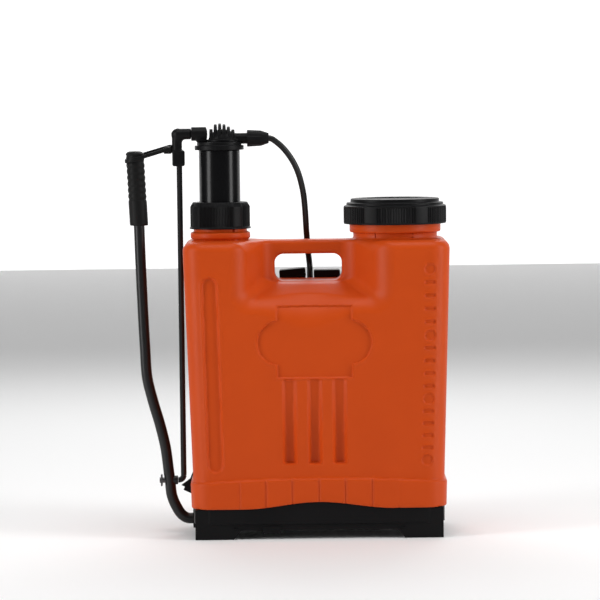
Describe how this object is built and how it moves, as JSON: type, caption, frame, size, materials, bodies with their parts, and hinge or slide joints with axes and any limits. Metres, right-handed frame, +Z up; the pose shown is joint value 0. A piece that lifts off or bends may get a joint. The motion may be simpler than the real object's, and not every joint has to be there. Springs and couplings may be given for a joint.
{
  "type": "knapsack sprayer",
  "caption": "Lever-operated knapsack sprayer: blow-moulded tank on a base, side pump lever with moving air chamber, screw lid, hose, lance and shoulder straps.",
  "frame": {"origin": "centre of the object's footprint box at floor level, measured without the hose", "axes": "+Z up, the front panel faces -Y, the pump and lever are on the -X side, the wearer's back is on the +Y side"},
  "size_m": [0.4654, 0.2511, 0.5943],
  "materials": {
    "tank_orange": "satin blow-moulded polyethylene",
    "black_plastic": "satin moulded polypropylene",
    "chamber_gloss": "polished black",
    "rubber": "soft black rubber",
    "hose_rubber": "smooth satin hose",
    "webbing": "woven polypropylene strap",
    "lever_paint": "black powder coat on steel tube",
    "steel": "zinc-plated steel",
    "valve_ball": "polished steel ball",
    "pale_plastic": "natural acetal",
    "nozzle_orange": "satin moulded plastic"
  },
  "bodies": {
    "tank": {"tank_shell": "tank_orange", "base_frame": "black_plastic", "axle_bush_outer": "black_plastic", "axle_bush_inner": "black_plastic", "strainer_basket": "black_plastic", "pump_cylinder": "black_plastic", "hose_tail_nut": "black_plastic", "trigger_body": "black_plastic", "lance_nut": "black_plastic", "nozzle_body": "black_plastic", "lance_clip_1": "black_plastic", "lance_clip_2": "black_plastic", "strap_anchor_left": "black_plastic", "strap_anchor_right": "black_plastic", "strap_slider_left": "black_plastic", "strap_slider_right": "black_plastic", "strap_hook_left": "black_plastic", "strap_hook_right": "black_plastic", "cylinder_gasket": "rubber", "hose_upper": "hose_rubber", "hose_coil": "hose_rubber", "hose_lower": "hose_rubber", "shoulder_pad_left": "webbing", "shoulder_pad_right": "webbing", "strap_web_left": "webbing", "strap_web_right": "webbing", "lance_tube": "lever_paint", "base_screw_1": "steel", "base_screw_2": "steel", "base_screw_3": "steel", "base_screw_4": "steel", "trigger_pin": "steel", "inlet_valve_seat": "pale_plastic"},
    "lever": {"lever_tube": "lever_paint", "lever_grip": "rubber", "link_pin": "steel", "link_clip": "steel", "axle_clip": "steel"},
    "chamber": {"air_chamber": "chamber_gloss", "chamber_head": "black_plastic", "outlet_cap": "black_plastic", "crosshead": "black_plastic", "piston_cup": "rubber", "piston_bolt": "black_plastic", "hose_nut": "black_plastic"},
    "link": {"link_elbow": "black_plastic", "connecting_rod": "lever_paint", "retaining_band": "rubber"},
    "collar_nut": {"collar_nut": "black_plastic"},
    "lid_seal": {"lid_gasket": "rubber"},
    "lid": {"filler_lid": "black_plastic", "breather_valve": "rubber"},
    "inlet_ball": {"inlet_ball": "valve_ball"},
    "outlet_ball": {"outlet_ball": "valve_ball"},
    "trigger": {"trigger_lever": "black_plastic"},
    "lock": {"lock_clip": "steel"},
    "nozzle": {"nozzle_cap": "nozzle_orange"}
  },
  "joints": [
    {"name": "lever_swing", "type": "hinge", "parent": "tank", "child": "lever", "pos_m": [-0.1545, -0.033, 0.021], "axis": [-1, 0, 0], "range_deg": [0, 90], "deforming": ["retaining_band"]},
    {"name": "chamber_slide", "type": "slide", "parent": "tank", "child": "chamber", "axis": [0, 0, 1], "range_m": [-0.0592, 0], "deforming": ["hose_upper"]},
    {"name": "link_swing", "type": "hinge", "parent": "chamber", "child": "link", "pos_m": [-0.1545, -0.033, 0.579], "axis": [1, 0, 0], "range_deg": [0, 6.45]},
    {"name": "collar_nut_turn", "type": "hinge", "parent": "tank", "child": "collar_nut", "pos_m": [-0.0965, -0.033, 0.461], "axis": [0, 0, 1], "continuous": true},
    {"name": "lid_lift", "type": "slide", "parent": "tank", "child": "lid_seal", "axis": [0, 0, 1], "range_m": [0, 0.06]},
    {"name": "lid_turn", "type": "hinge", "parent": "lid_seal", "child": "lid", "pos_m": [0.1562, -0.033, 0.47], "axis": [0, 0, 1], "continuous": true},
    {"name": "inlet_ball_lift", "type": "slide", "parent": "tank", "child": "inlet_ball", "axis": [0, 0, 1], "range_m": [0, 0.005]},
    {"name": "outlet_ball_lift", "type": "slide", "parent": "chamber", "child": "outlet_ball", "axis": [0, 0, 1], "range_m": [0, 0.004]},
    {"name": "trigger_squeeze", "type": "hinge", "parent": "tank", "child": "trigger", "pos_m": [-0.1135, 0.072, 0.214], "axis": [0, 1, 0], "range_deg": [-5.5, 0], "stiffness_Nm_per_rad": 0.6},
    {"name": "lock_swing", "type": "hinge", "parent": "tank", "child": "lock", "pos_m": [-0.1109, 0.072, 0.1533], "axis": [0, 1, 0], "range_deg": [0, 23]},
    {"name": "nozzle_turn", "type": "hinge", "parent": "tank", "child": "nozzle", "pos_m": [-0.0965, 0.072, 0.565], "axis": [0, 0, 1], "continuous": true}
  ],
  "couplings": [
    {"joint": "chamber_slide", "follows": "lever_swing", "m_per_rad": -0.037624},
    {"joint": "link_swing", "follows": "lever_swing", "ratio": 0.071111}
  ]
}
